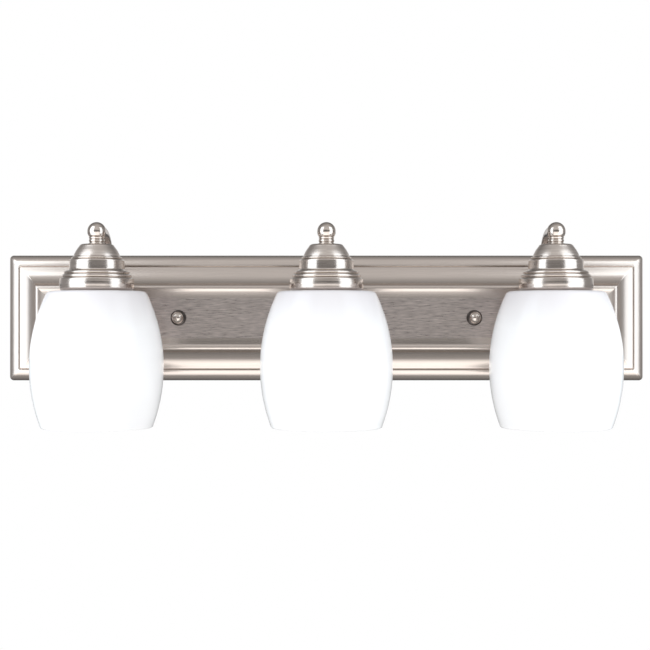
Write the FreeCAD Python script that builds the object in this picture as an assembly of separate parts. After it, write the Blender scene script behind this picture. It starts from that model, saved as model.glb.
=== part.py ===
import FreeCAD
import Part

import math
import os

# Three-lamp vanity light bar for a bathroom wall.
#
# A long moulded steel backplate covers the outlet box. A strap behind it is screwed to the box, and two
# long screws on the strap pass through the plate, which two cap nuts hold. Three bent tubes carry a ball
# each, and a bell-shaped cup with a lamp holder hangs from every ball. A glass shade hangs from each
# holder, clamped up against the cup by a threaded ring, with a screw-base lamp inside it.
#
# Millimetres. +Z up, the wall is the plane Y = 0 and the room is on the -Y side, so a point that stands
# `out` from the wall has Y = -out. The origin is the middle of the strap's slots, on the wall.

# ---- driving dimensions ----
PLATE_LENGTH = 609.6
PLATE_HEIGHT = 120.4
SHEET = 0.8
PLATE_CORNER = 3.6
LAMP_PITCH = PLATE_LENGTH / 3
LAMP_OUT = 106.0
BALL_Z = 76.0
ARM_ROOT_Z = 10.5
CAP_NUT_PITCH = 279.4

LAMPS = {"left": -LAMP_PITCH, "centre": 0.0, "right": LAMP_PITCH}
SIDES = {"left": -CAP_NUT_PITCH / 2, "right": CAP_NUT_PITCH / 2}

# ---- moulding of the plate, as inset from its edge and height out from the wall ----
ROLL_RADIUS = 11.6
ROLL_CENTRE = (11.6, 0.5)
ROLL_END_SLOPE = 5.4
GROOVE_WIDTH = 1.4
GROOVE_DEPTH = 0.8
COVE_RADIUS = 21.4
COVE_SLOPES = (8.0, 71.6)
BEAD_RADIUS = 3.2
BEAD_END_SLOPE = -27.0
FILLET_RADIUS = 5.0
DISH_SLOPE = -6.0
DISH_RADIUS = 57.0

# ---- arm, ball and neck ----
TUBE_RADIUS = 6.35
TUBE_BORE = 5.35
TUBE_START = 5.0
TUBE_RUN = 19.0
UPPER_BEND = 35.0
ROOT_STUD_RADIUS = 4.85
ROOT_STUD_LENGTH = 11.0
ROOT_PLUG = 3.0
WIRE_BORE = 3.5
ARM_COLLAR_RADIUS = 7.8
ARM_COLLAR_THICKNESS = 4.5
BALL_RADIUS = 8.25
NECK_TOP = 69.5
NIPPLE_RADIUS = 4.85
NIPPLE_SPAN = (48.0, 72.5)
FIT = 0.05

# ---- cup ----
CUP_TOP = 64.7
CUP_BOTTOM = 23.4
CUP_WALL = 1.0
CUP_HOLE = 5.0

# ---- shade ----
SHADE_TOP = 23.1
SHADE_BOTTOM = -97.5
SHADE_RADIUS = 58.8
SHADE_BELLY_Z = -44.0
SHADE_ARC = 150.0
SHADE_WALL = 3.2
SHADE_HOLE = 21.0
SHADE_SHOULDER = 4.6

# ---- ring, lamp holder and lamp ----
SKIRT_RADIUS = 19.5
RING_BORE = 19.56
RING_TOP = 19.6
RING_FLANGE = (27.0, 3.0)
RING_HUB = (23.0, 8.0)
HOLDER_SPAN = (5.0, 44.0)
CAP_SPAN = (44.0, 53.0)
CAP_RADIUS = 17.0
SHELL_BORE = 13.25
SHELL_WALL = 0.4
SHELL_SPAN = (8.0, 35.0)
LAMP_BASE_RADIUS = 13.15
LAMP_TIP_Z = 34.0
LAMP_RADIUS = 30.0
LAMP_BULGE_Z = -44.0
LAMP_WALL = 0.9

# ---- strap, screws and nuts ----
STRAP_HALF_WIDTH = 9.0
STRAP_THICKNESS = 1.6
STRAP_HALF_LENGTH = 156.0
STRAP_LIFT = 7.0
STRAP_FOOT = 62.0
SLOT_PITCH = 79.4
SLOT_LENGTH = 14.4
SLOT_RADIUS = 2.4
SCREW_RADIUS = 2.05
SCREW_END = 36.9
CAP_BORE = 2.11
CAP_WASHER = (7.4, 0.8)

# ---- wiring ----
LEAD_RADIUS = 1.1
LEAD_OFFSET = 1.35
LEAD_TURN = 13.6
SIDE_DEPTHS = (7.4, 4.8)
MIDDLE_DEPTH = 10.0
NUT_X = 30.0
GROUND_X = 75.0
WIRE_NUT_MOUTH_Z = 22.0
WIRE_NUT_LENGTH = 20.0


def point(x, out, z):
    return FreeCAD.Vector(x, -out, z)


def arc(start, middle, end):
    return Part.Arc(start, middle, end).toShape()


def line(start, end):
    return Part.LineSegment(start, end).toShape()


def outline(steps, place):
    """A closed face. A step of two numbers is a straight line to that point, one of four is an arc
    through its first point to its second. place turns two numbers into a point in space."""
    here = first = place(*steps[0])
    edges = []
    for step in steps[1:]:
        end = place(*step[-2:])
        edges.append(line(here, end) if len(step) == 2 else arc(here, place(*step[:2]), end))
        here = end
    if here.distanceToPoint(first) > 1e-6:
        edges.append(line(here, first))
    return Part.Face(Part.Wire(edges))


def turned(steps, x=0.0, out=0.0):
    """A solid turned about a vertical axis, from an outline of (radius, z)."""
    face = outline(steps, lambda r, z: point(x + r, out, z))
    return face.revolve(point(x, out, 0), FreeCAD.Vector(0, 0, 1), 360)


def turned_out(steps, x=0.0, z=0.0):
    """A solid turned about an axis that stands out from the wall, from an outline of (radius, out)."""
    face = outline(steps, lambda r, out: point(x + r, out, z))
    return face.revolve(point(x, 0, z), FreeCAD.Vector(0, 1, 0), 360)


def rod(radius, start, end, x=0.0, out=0.0):
    """An upright cylinder between two heights."""
    return Part.makeCylinder(radius, end - start, point(x, out, start), FreeCAD.Vector(0, 0, 1))


def rod_out(radius, start, end, x=0.0, z=0.0):
    """A cylinder that stands out from the wall, between two distances from it."""
    return Part.makeCylinder(radius, end - start, point(x, start, z), FreeCAD.Vector(0, -1, 0))


def hexagon_nut(across_flats, bore, start, end, chamfer=0.6):
    """An upright nut about the origin, with its corners turned off at both ends."""
    corner = across_flats / math.sqrt(3)
    corners = []
    for step in range(7):
        angle = math.radians(60 * step)
        corners.append(FreeCAD.Vector(corner * math.cos(angle), corner * math.sin(angle), start))
    blank = Part.Face(Part.makePolygon(corners)).extrude(FreeCAD.Vector(0, 0, end - start))
    turning = turned([(0, start), (corner - chamfer, start), (corner, start + chamfer / 2),
                      (corner, end - chamfer / 2), (corner - chamfer, end), (0, end)])
    return blank.common(turning).cut(rod(bore, start, end))


def facing_out(shape, x, z):
    """A shape that was made upright about the origin, turned to stand out from the wall at (x, z)."""
    moved = shape.copy()
    moved.rotate(FreeCAD.Vector(0, 0, 0), FreeCAD.Vector(1, 0, 0), 90)
    moved.translate(FreeCAD.Vector(x, 0, z))
    return moved


def route(points, radii):
    """A wire of straight runs joined by tangent arcs, one radius for each inner point."""
    edges = []
    here = points[0]
    for index, radius in enumerate(radii, start=1):
        corner = points[index]
        back = (points[index - 1] - corner).normalize()
        on = (points[index + 1] - corner).normalize()
        half = back.getAngle(on) / 2
        reach = radius / math.tan(half)
        begin = corner + back * reach
        end = corner + on * reach
        centre = corner + (back + on).normalize() * (radius / math.sin(half))
        middle = centre + (corner - centre).normalize() * radius
        edges += [line(here, begin), arc(begin, middle, end)]
        here = end
    edges.append(line(here, points[-1]))
    return Part.Wire(edges)


def rod_along(wire, radius):
    """A round rod that follows a route."""
    start = wire.Edges[0]
    direction = start.tangentAt(start.FirstParameter)
    section = Part.Wire(Part.makeCircle(radius, wire.Edges[0].Vertexes[0].Point, direction))
    return wire.makePipeShell([section], True, True)


def sloped_arc(start, radius, slope_from, slope_to):
    """The middle and end of an arc from start, given its slope at both ends, in degrees. A positive
    radius curves up like a cove, and a negative one curves over like a bead."""
    def at(slope):
        angle = math.radians(slope)
        first = math.radians(slope_from)
        return (start[0] + radius * (math.sin(angle) - math.sin(first)),
                start[1] + radius * (math.cos(first) - math.cos(angle)))
    return (*at((slope_from + slope_to) / 2), *at(slope_to))


# ---------------------------------------------------------------- backplate

def moulding(offset):
    """The plate's section from its edge to its flat panel, set in from the outer face by offset."""
    roll = ROLL_RADIUS - offset
    start = (ROLL_CENTRE[0] - roll, ROLL_CENTRE[1])

    def on_roll(slope):
        angle = math.radians(slope)
        return ROLL_CENTRE[0] - roll * math.sin(angle), ROLL_CENTRE[1] + roll * math.cos(angle)

    roll_end = on_roll(ROLL_END_SLOPE)
    groove = (roll_end[0] + GROOVE_WIDTH / 2, roll_end[1] - GROOVE_DEPTH)
    first, last = COVE_SLOPES
    outer_end = (ROLL_CENTRE[0] - ROLL_RADIUS * math.sin(math.radians(ROLL_END_SLOPE)) + GROOVE_WIDTH,
                 ROLL_CENTRE[1] + ROLL_RADIUS * math.cos(math.radians(ROLL_END_SLOPE)) + 0.2)
    cove_start = (outer_end[0] + offset * math.sin(math.radians(first)),
                  outer_end[1] - offset * math.cos(math.radians(first)))
    cove = sloped_arc(cove_start, COVE_RADIUS + offset, first, last)
    bead = sloped_arc(cove[2:], -(BEAD_RADIUS - offset), last, BEAD_END_SLOPE)
    fillet = sloped_arc(bead[2:], FILLET_RADIUS + offset, BEAD_END_SLOPE, DISH_SLOPE)
    dish = sloped_arc(fillet[2:], DISH_RADIUS + offset, DISH_SLOPE, 0.0)
    return [start, (*on_roll(45 + ROLL_END_SLOPE / 2), *roll_end), groove, cove_start, cove, bead, fillet, dish]


PANEL_OUT = moulding(0.0)[-1][-1]
PANEL_BACK = PANEL_OUT - SHEET


def mitred_block(offset, back):
    """The plate's outer form as a solid block, or with an offset the form that hollows it out."""
    half_length = PLATE_LENGTH / 2
    half_height = PLATE_HEIGHT / 2
    section = moulding(offset)
    panel_out = section[-1][-1]
    steps = [(section[0][0], back), *section, (half_height, panel_out), (half_height, back)]
    deep = FreeCAD.Vector(0, -PLATE_HEIGHT, 0)

    def side(place, extrusion, plan):
        bar = outline(steps, place).extrude(extrusion)
        corners = [point(x, -PLATE_HEIGHT / 2, z) for x, z in plan]
        return bar.common(Part.Face(Part.makePolygon([*corners, corners[0]])).extrude(deep))

    top = side(lambda w, out: point(-half_length, out, half_height - w),
               FreeCAD.Vector(PLATE_LENGTH, 0, 0),
               [(-half_length, half_height), (half_length, half_height),
                (half_length - half_height, 0), (-half_length + half_height, 0)])
    right = side(lambda w, out: point(half_length - w, out, -half_height),
                 FreeCAD.Vector(0, 0, PLATE_HEIGHT),
                 [(half_length, half_height), (half_length, -half_height), (half_length - half_height, 0)])
    bottom = top.mirror(FreeCAD.Vector(0, 0, 0), FreeCAD.Vector(0, 0, 1))
    left = right.mirror(FreeCAD.Vector(0, 0, 0), FreeCAD.Vector(1, 0, 0))
    block = top.fuse([right, bottom, left]).removeSplitter()
    envelope = Part.makeBox(PLATE_LENGTH - 2 * offset, PLATE_HEIGHT, PLATE_HEIGHT - 2 * offset,
                            FreeCAD.Vector(-half_length + offset, -PLATE_HEIGHT / 2, -half_height + offset))
    upright = [edge for edge in envelope.Edges if abs(edge.tangentAt(edge.FirstParameter).y) > 0.9]
    return block.common(envelope.makeFillet(PLATE_CORNER - offset, upright))


def backplate():
    plate = mitred_block(0.0, 0.0).cut(mitred_block(SHEET, -1.0))
    for x in LAMPS.values():
        plate = plate.cut(rod_out(ROOT_STUD_RADIUS + 0.25, PANEL_BACK - 2, PANEL_OUT + 2, x, ARM_ROOT_Z))
    for x in SIDES.values():
        plate = plate.cut(rod_out(SCREW_RADIUS + 0.45, PANEL_BACK - 2, PANEL_OUT + 2, x))
    return plate


# ---------------------------------------------------------------- strap and fastenings

def mounting_strap():
    """A strip that lies on the wall over the box and steps off it at both ends."""
    near, far = STRAP_FOOT, STRAP_FOOT + STRAP_LIFT
    half = [(0, 0), (near, 0), (far, STRAP_LIFT), (STRAP_HALF_LENGTH, STRAP_LIFT),
            (STRAP_HALF_LENGTH, STRAP_LIFT + STRAP_THICKNESS), (far - 0.7, STRAP_LIFT + STRAP_THICKNESS),
            (near - 0.7, STRAP_THICKNESS), (0, STRAP_THICKNESS)]
    profile = outline(half, lambda x, out: point(x, out, -STRAP_HALF_WIDTH))
    right = profile.extrude(FreeCAD.Vector(0, 0, 2 * STRAP_HALF_WIDTH))
    left = right.mirror(FreeCAD.Vector(0, 0, 0), FreeCAD.Vector(1, 0, 0))
    strap = right.fuse(left).removeSplitter()
    ends = [edge for edge in strap.Edges
            if abs(abs(edge.CenterOfMass.x) - STRAP_HALF_LENGTH) < 0.1 and edge.Length < 2]
    strap = strap.makeFillet(5.0, ends)
    through = 2 * STRAP_THICKNESS
    straight = (SLOT_LENGTH - 2 * SLOT_RADIUS) / 2
    for x in (-SLOT_PITCH / 2, SLOT_PITCH / 2):
        for end in (x - straight, x + straight):
            strap = strap.cut(rod_out(SLOT_RADIUS, -through, through, end))
        strap = strap.cut(Part.makeBox(2 * straight, 2 * through, 2 * SLOT_RADIUS,
                                       FreeCAD.Vector(x - straight, -through, -SLOT_RADIUS)))
    strap = strap.cut(rod_out(5.2, -through, through))
    strap = strap.cut(rod_out(2.45, -through, STRAP_LIFT + through, GROUND_X))
    for x in SIDES.values():
        strap = strap.cut(rod_out(SCREW_RADIUS + FIT, STRAP_LIFT - 1, STRAP_LIFT + through, x))
    return strap


def mounting_screws():
    """Two long machine screws with their heads behind the strap's raised ends."""
    head = STRAP_LIFT - 2.3
    screws = []
    for x in SIDES.values():
        steps = [(0, head), (3.0, head), (3.9, head + 0.9), (4.0, STRAP_LIFT), (SCREW_RADIUS, STRAP_LIFT),
                 (SCREW_RADIUS, SCREW_END - 0.6), (SCREW_RADIUS - 0.5, SCREW_END), (0, SCREW_END)]
        screw = turned_out(steps, x)
        slot = Part.makeBox(9, 1.0, 1.1, FreeCAD.Vector(x - 4.5, -head - 1.0, -0.55))
        screws.append(screw.cut(slot))
    return Part.makeCompound(screws)


def screw_lock_nuts():
    start = STRAP_LIFT + STRAP_THICKNESS
    nut = hexagon_nut(8.7, SCREW_RADIUS + FIT, start, start + 3.2)
    return Part.makeCompound([facing_out(nut, x, 0) for x in SIDES.values()])


def cap_washer(x):
    radius, thickness = CAP_WASHER
    steps = [(CAP_BORE + 0.15, PANEL_OUT), (radius - 0.2, PANEL_OUT), (radius, PANEL_OUT + 0.2),
             (radius, PANEL_OUT + thickness - 0.2), (radius - 0.2, PANEL_OUT + thickness),
             (CAP_BORE + 0.15, PANEL_OUT + thickness)]
    return turned_out(steps, x)


def cap_nut(x):
    """A ball-headed nut with a collar at its foot and a blind thread."""
    foot = PANEL_OUT + CAP_WASHER[1]
    ball, waist = 5.7, 4.4
    centre = foot + 7.2
    shoulder = centre - math.sqrt(ball ** 2 - (waist + 0.3) ** 2)
    steps = [(CAP_BORE, foot), (6.6, foot), (6.9, foot + 0.8, 6.5, foot + 1.6), (waist, foot + 2.4),
             (waist, shoulder - 0.3), (waist + 0.3, shoulder), (ball, centre, 0, centre + ball),
             (0, SCREW_END + 0.8), (CAP_BORE, SCREW_END + 0.2)]
    return turned_out(steps, x)


def ground_screw():
    face = STRAP_LIFT + STRAP_THICKNESS
    nut = hexagon_nut(7.9, 0.4, face + 2.6, face + 5.4)
    head = facing_out(nut, GROUND_X, 0).fuse(rod_out(0.5, face + 2.6, face + 5.0, GROUND_X))
    shank = rod_out(2.4, face - 5.5, face + 2.7, GROUND_X)
    flange = rod_out(4.8, face + 1.9, face + 2.7, GROUND_X)
    slot = Part.makeBox(9, 1.2, 1.0, FreeCAD.Vector(GROUND_X - 4.5, -face - 5.4, -0.5))
    return shank.fuse([flange, head]).cut(slot).removeSplitter()


# ---------------------------------------------------------------- arms

LOWER_BEND = LAMP_OUT - TUBE_RUN - UPPER_BEND - PANEL_OUT - ARM_COLLAR_THICKNESS


def arm_line(x, start, end_out):
    """The arm's centre line: back from the ball, down, and back again into the plate."""
    riser = LAMP_OUT - TUBE_RUN - UPPER_BEND
    points = [point(x, LAMP_OUT - start, BALL_Z), point(x, riser, BALL_Z),
              point(x, riser, ARM_ROOT_Z), point(x, end_out, ARM_ROOT_Z)]
    return route(points, [UPPER_BEND, LOWER_BEND])


def arm(x):
    """A bent tube with a hollow threaded stud let into its foot."""
    tube = rod_along(arm_line(x, TUBE_START, PANEL_OUT), TUBE_RADIUS)
    bore = rod_along(arm_line(x, TUBE_START - 2, PANEL_OUT - 2), TUBE_BORE)
    stud = rod_out(ROOT_STUD_RADIUS, PANEL_OUT - ROOT_STUD_LENGTH, PANEL_OUT + ROOT_PLUG, x, ARM_ROOT_Z)
    plug = rod_out(TUBE_BORE + 0.2, PANEL_OUT, PANEL_OUT + 1.0, x, ARM_ROOT_Z)
    passage = rod_out(WIRE_BORE, PANEL_OUT - 2 * ROOT_STUD_LENGTH, PANEL_OUT + 2 * ROOT_PLUG, x, ARM_ROOT_Z)
    return tube.cut(bore).fuse([stud, plug]).cut(passage).removeSplitter()


def arm_collar(x):
    """The turned ring that covers the joint between arm and plate."""
    bore, edge, front = TUBE_RADIUS + FIT, ARM_COLLAR_RADIUS, PANEL_OUT + ARM_COLLAR_THICKNESS
    steps = [(bore, PANEL_OUT), (edge, PANEL_OUT), (edge, PANEL_OUT + 1.4),
             (edge - 0.3, PANEL_OUT + 3.4, bore + 0.5, front), (bore, front)]
    return turned_out(steps, x, ARM_ROOT_Z)


def arm_washers():
    rings = []
    for x in LAMPS.values():
        ring = rod_out(8.4, PANEL_BACK - 1.2, PANEL_BACK, x, ARM_ROOT_Z)
        rings.append(ring.cut(rod_out(ROOT_STUD_RADIUS + FIT, PANEL_BACK - 3, PANEL_OUT, x, ARM_ROOT_Z)))
    return Part.makeCompound(rings)


def arm_nuts():
    end = PANEL_BACK - 1.2
    nut = hexagon_nut(14.2, ROOT_STUD_RADIUS + FIT, end - 3.2, end, 0.9)
    return Part.makeCompound([facing_out(nut, x, ARM_ROOT_Z) for x in LAMPS.values()])


def ball_hub(x):
    """The ball at the arm's end, bored for the tube from behind and for the nipple from below. A groove
    sets it off from its short neck."""
    neck, lip = 6.6, 7.0
    lip_z = BALL_Z - math.sqrt(BALL_RADIUS ** 2 - lip ** 2)
    ball = turned([(0, NECK_TOP), (neck, NECK_TOP), (neck + 0.3, NECK_TOP + 1.0), (neck - 0.2, lip_z - 0.7),
                   (lip, lip_z), (BALL_RADIUS, BALL_Z, 0, BALL_Z + BALL_RADIUS)], x, LAMP_OUT)
    seat = rod_out(TUBE_RADIUS, LAMP_OUT - 2 * BALL_RADIUS, LAMP_OUT - TUBE_START, x, BALL_Z)
    passage = rod_out(WIRE_BORE, LAMP_OUT - BALL_RADIUS, LAMP_OUT, x, BALL_Z)
    nipple = rod(NIPPLE_RADIUS + FIT, NECK_TOP - 1, NIPPLE_SPAN[1] + 0.3, x, LAMP_OUT)
    chamber = rod(WIRE_BORE, NECK_TOP, BALL_Z + 2.5, x, LAMP_OUT)
    return ball.cut(seat).cut(passage).cut(nipple).cut(chamber)


def neck_collar(x):
    """The turned spacer between ball and cup: a flared foot and a ring."""
    bore = NIPPLE_RADIUS + 2 * FIT
    steps = [(bore, CUP_TOP), (7.9, CUP_TOP), (7.8, CUP_TOP + 0.5), (6.8, CUP_TOP + 0.9, 6.4, CUP_TOP + 1.8),
             (7.0, CUP_TOP + 3.1, 6.5, CUP_TOP + 4.4), (6.5, NECK_TOP), (bore, NECK_TOP)]
    return turned(steps, x, LAMP_OUT)


def nipples():
    """Hollow threaded pipes that join ball, collar, cup and lamp holder."""
    low, high = NIPPLE_SPAN
    pipes = [rod(NIPPLE_RADIUS, low, high, x, LAMP_OUT).cut(rod(WIRE_BORE, low, high, x, LAMP_OUT))
             for x in LAMPS.values()]
    return Part.makeCompound(pipes)


def cup_nuts():
    """The nuts that clamp each cup from inside."""
    top = CUP_TOP - CUP_WALL
    nut = hexagon_nut(14.2, NIPPLE_RADIUS + FIT, top - 3.2, top, 0.9)
    nuts = []
    for x in LAMPS.values():
        moved = nut.copy()
        moved.translate(point(x, LAMP_OUT, 0))
        nuts.append(moved)
    return Part.makeCompound(nuts)


# ---------------------------------------------------------------- lamp units

def cup(x):
    """The spun bell: dome, thin ring, upper band, flare, two beads, lower band and curled foot."""
    outside = [(CUP_HOLE, CUP_TOP), (12.4, CUP_TOP), (14.4, 64.0, 15.6, 62.4), (20.3, 54.4), (20.5, 53.5),
               (21.4, 53.4), (22.1, 52.5, 21.6, 51.6), (22.4, 51.2), (24.1, 49.8), (24.5, 42.8),
               (25.4, 41.4, 27.6, 40.9), (28.7, 39.9, 28.2, 38.5), (28.6, 38.2), (30.4, 37.0, 30.0, 35.3),
               (31.8, 34.6), (32.6, 33.0), (32.9, 28.2, 30.4, CUP_BOTTOM)]
    inside = [(29.4, CUP_BOTTOM), (31.4, 27.0), (31.6, 32.6), (29.1, 34.8), (27.2, 38.6), (26.2, 39.9),
              (23.4, 41.9), (23.1, 49.4), (20.4, 51.6), (19.3, 54.0), (14.5, 61.9),
              (12.0, CUP_TOP - CUP_WALL), (CUP_HOLE, CUP_TOP - CUP_WALL)]
    return turned(outside + inside, x, LAMP_OUT)


def holder_cap(x):
    """The lamp holder's upper half, tapped for the nipple and hollow for the terminals."""
    low, high = CAP_SPAN
    steps = [(0, low), (CAP_RADIUS, low), (CAP_RADIUS, high - 2.5), (CAP_RADIUS - 2.5, high), (0, high)]
    solid = turned(steps, x, LAMP_OUT)
    bore = rod(NIPPLE_RADIUS + FIT, NIPPLE_SPAN[0], high + 1, x, LAMP_OUT)
    return solid.cut(bore).cut(rod(12.0, low - 1, NIPPLE_SPAN[0], x, LAMP_OUT))


def holder_body(x):
    """The lamp holder's skirt, threaded outside for the ring, with a floor for the contact."""
    low, high = HOLDER_SPAN
    shell = SHELL_BORE + SHELL_WALL + FIT
    steps = [(shell, low + 1.0), (shell + 1.2, low), (SKIRT_RADIUS - 0.8, low), (SKIRT_RADIUS, low + 0.8),
             (SKIRT_RADIUS, 40.0), (CAP_RADIUS, 42.0), (CAP_RADIUS, high), (1.6, high), (1.6, 37.0),
             (6.0, 37.0), (6.0, 36.0), (shell, 36.0)]
    return turned(steps, x, LAMP_OUT)


def holder_shell(x):
    """The thin screw shell that grips the lamp."""
    low, high = SHELL_SPAN
    outer = SHELL_BORE + SHELL_WALL
    steps = [(SHELL_BORE, low), (outer, low), (outer, high), (6.5, high), (6.5, high - SHELL_WALL),
             (SHELL_BORE, high - SHELL_WALL)]
    return turned(steps, x, LAMP_OUT)


def holder_contacts():
    """The spring contacts in the middle of each holder, simplified to a button on a stem."""
    low = LAMP_TIP_Z + 0.3
    buttons = [turned([(0, low), (2.4, low), (3.4, low + 0.9), (3.4, low + 1.5), (1.5, low + 2.2),
                       (1.5, 44.6), (0, 44.6)], x, LAMP_OUT) for x in LAMPS.values()]
    return Part.makeCompound(buttons)


def shade_radius(z, offset):
    arc_radius = SHADE_ARC - offset
    return SHADE_RADIUS - SHADE_ARC + math.sqrt(arc_radius ** 2 - (z - SHADE_BELLY_Z) ** 2)


def shade_side(offset, low, high):
    """The barrel's side between two heights, as an arc's middle and end going up."""
    middle = (low + high) / 2
    return (shade_radius(middle, offset), middle, shade_radius(high, offset), high)


def shoulder_arc(top, radius, offset):
    """The rounded corner between the barrel's side and its flat top: its start height on the side, the
    arc's middle, and the radius where the flat begins."""
    centre_z = top - radius
    reach = SHADE_ARC - offset - radius
    centre_r = SHADE_RADIUS - SHADE_ARC + math.sqrt(reach ** 2 - (centre_z - SHADE_BELLY_Z) ** 2)
    lean = math.atan2(centre_z - SHADE_BELLY_Z, centre_r - SHADE_RADIUS + SHADE_ARC)
    half = (lean + math.pi / 2) / 2
    start = (centre_r + radius * math.cos(lean), centre_z + radius * math.sin(lean))
    middle = (centre_r + radius * math.cos(half), centre_z + radius * math.sin(half))
    return start, (*middle, centre_r, top)


def shade(x):
    """The opal glass barrel: a flat top with a hole, a round shoulder and an open foot."""
    wall = SHADE_WALL
    lip = 1.5
    corner, corner_arc = shoulder_arc(SHADE_TOP, SHADE_SHOULDER, 0.0)
    under, under_arc = shoulder_arc(SHADE_TOP - wall, SHADE_SHOULDER - wall, wall)
    foot = SHADE_BOTTOM + lip
    outer_foot = shade_radius(foot, 0.0)
    inner_foot = shade_radius(foot, wall)
    inner_middle = (under[1] + foot) / 2
    steps = [(SHADE_HOLE, SHADE_TOP - wall), (SHADE_HOLE, SHADE_TOP), (corner_arc[2], SHADE_TOP),
             (corner_arc[0], corner_arc[1], *corner)]
    steps += [(shade_radius((corner[1] + foot) / 2, 0.0), (corner[1] + foot) / 2, outer_foot, foot),
              ((outer_foot + inner_foot) / 2 - 0.3, SHADE_BOTTOM, inner_foot, foot),
              (shade_radius(inner_middle, wall), inner_middle, *under),
              (under_arc[0], under_arc[1], under_arc[2], SHADE_TOP - wall)]
    return turned(steps, x, LAMP_OUT)


def shade_ring(x):
    """The threaded ring that clamps the glass up against the cup."""
    flange, flange_height = RING_FLANGE
    hub, height = RING_HUB
    low = RING_TOP - height
    shelf = RING_TOP - flange_height
    ring = turned([(RING_BORE, low), (hub - 0.8, low), (hub, low + 0.8), (hub, shelf),
                   (flange - 0.5, shelf), (flange, shelf + 0.5), (flange, RING_TOP), (RING_BORE, RING_TOP)],
                  x, LAMP_OUT)
    for step in range(4):
        notch = Part.makeBox(4.0, 3.0, 2.0, FreeCAD.Vector(flange - 2.0, -1.5, shelf - 0.5))
        notch.rotate(FreeCAD.Vector(0, 0, 0), FreeCAD.Vector(0, 0, 1), 90 * step)
        notch.translate(point(x, LAMP_OUT, 0))
        ring = ring.cut(notch)
    return ring


def lamp_outline(offset):
    """The glass bulb's section from its neck down to its tip."""
    bulb = LAMP_RADIUS - offset
    lean = math.radians(38)
    bulge = (bulb * math.cos(lean), LAMP_BULGE_Z + bulb * math.sin(lean))
    throat = [(12.3 - offset, 12.0), (12.3 - offset, 7.4), (14.0 - offset, 3.0)]
    return throat + [(16.3 - offset, -11.0, *bulge), (bulb, LAMP_BULGE_Z, 0, LAMP_BULGE_Z - bulb)]


def lamp_glass(x):
    outer = lamp_outline(0.0)
    inner = lamp_outline(LAMP_WALL)
    top, throat, neck, (waist, waist_z, side, side_z), (belly, belly_z, _, tip) = inner
    steps = outer + [(0, tip), (belly, belly_z, side, side_z), (waist, waist_z, *neck), throat, top]
    return turned(steps, x, LAMP_OUT)


def lamp_base(x):
    """The lamp's screw shell, a thin cup that holds the glass."""
    top = LAMP_TIP_Z - 3.6
    low = 8.0
    radius = LAMP_BASE_RADIUS
    steps = [(12.4, low), (radius, low), (radius, top - 2.4), (9.0, top), (8.4, top), (12.4, top - 3.2)]
    return turned(steps, x, LAMP_OUT)


def lamp_insulator(x):
    """The black glass button at the lamp's tip, with its contact."""
    top = LAMP_TIP_Z
    steps = [(0, top - 4.4), (8.2, top - 4.4), (8.2, top - 3.6), (5.0, top - 1.0), (3.2, top - 0.7),
             (2.0, top), (0, top)]
    return turned(steps, x, LAMP_OUT)


# ---------------------------------------------------------------- wiring

def lead(x, offset, target, depth):
    """One insulated lead, from the holder up through ball and arm into the plate, then along the plate
    to a wire nut at target. depth is how far from the wall it runs there."""
    riser = LAMP_OUT - TUBE_RUN - UPPER_BEND
    rise = WIRE_NUT_MOUTH_Z + 4.0
    here = x + offset
    points = [point(here, LAMP_OUT, 45.0), point(here, LAMP_OUT, BALL_Z), point(here, riser, BALL_Z),
              point(here, riser, ARM_ROOT_Z), point(here, depth, ARM_ROOT_Z),
              point(target, depth, ARM_ROOT_Z), point(target, depth, rise)]
    return rod_along(route(points, [4.0, UPPER_BEND, LOWER_BEND, LEAD_TURN - depth, 6.0]), LEAD_RADIUS)


def leads(nut_x, depth, first):
    """The three leads of one colour: first is the side of the middle lead, -1 for left."""
    step = 1.4
    toward = 1 if depth == SIDE_DEPTHS[0] else -1
    return Part.makeCompound([
        lead(LAMPS["left"], toward * LEAD_OFFSET, nut_x - step, depth),
        lead(LAMPS["centre"], first * LEAD_OFFSET, nut_x, MIDDLE_DEPTH),
        lead(LAMPS["right"], -toward * LEAD_OFFSET, nut_x + step, depth)])


def wire_nut(x, depth):
    """A ribbed cone with a hollow mouth that faces down."""
    low, high = WIRE_NUT_MOUTH_Z, WIRE_NUT_MOUTH_Z + WIRE_NUT_LENGTH
    steps = [(4.6, low), (6.4, low), (6.2, low + 6), (5.4, low + 6.6), (3.6, high - 1.2), (2.6, high), (0, high),
             (0, high - 3), (2.6, high - 4), (4.6, low + 6)]
    nut = turned(steps, x, depth)
    for step in range(2):
        wing = Part.makeBox(3.0, 1.6, 6.0, FreeCAD.Vector(5.0, -0.8, low))
        wing.rotate(FreeCAD.Vector(0, 0, 0), FreeCAD.Vector(0, 0, 1), 180 * step)
        wing.translate(point(x, depth, 0))
        nut = nut.fuse(wing)
    return nut.removeSplitter()


GROUND_DEPTH = STRAP_LIFT + STRAP_THICKNESS + 1.0


def ground_wire():
    """A bare copper wire hooked round the ground screw and led up to its wire nut."""
    radius = 0.8
    eye = Part.makeTorus(3.3, radius, point(GROUND_X, GROUND_DEPTH, 0), FreeCAD.Vector(0, 1, 0))
    lift = [point(GROUND_X + 3.3, GROUND_DEPTH, 0), point(GROUND_X + 3.3, GROUND_DEPTH, 17.0),
            point(GROUND_X, GROUND_DEPTH, 26.0)]
    return eye.fuse(rod_along(route(lift, [8.0]), radius)).removeSplitter()


# ---------------------------------------------------------------- the nodes

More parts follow.
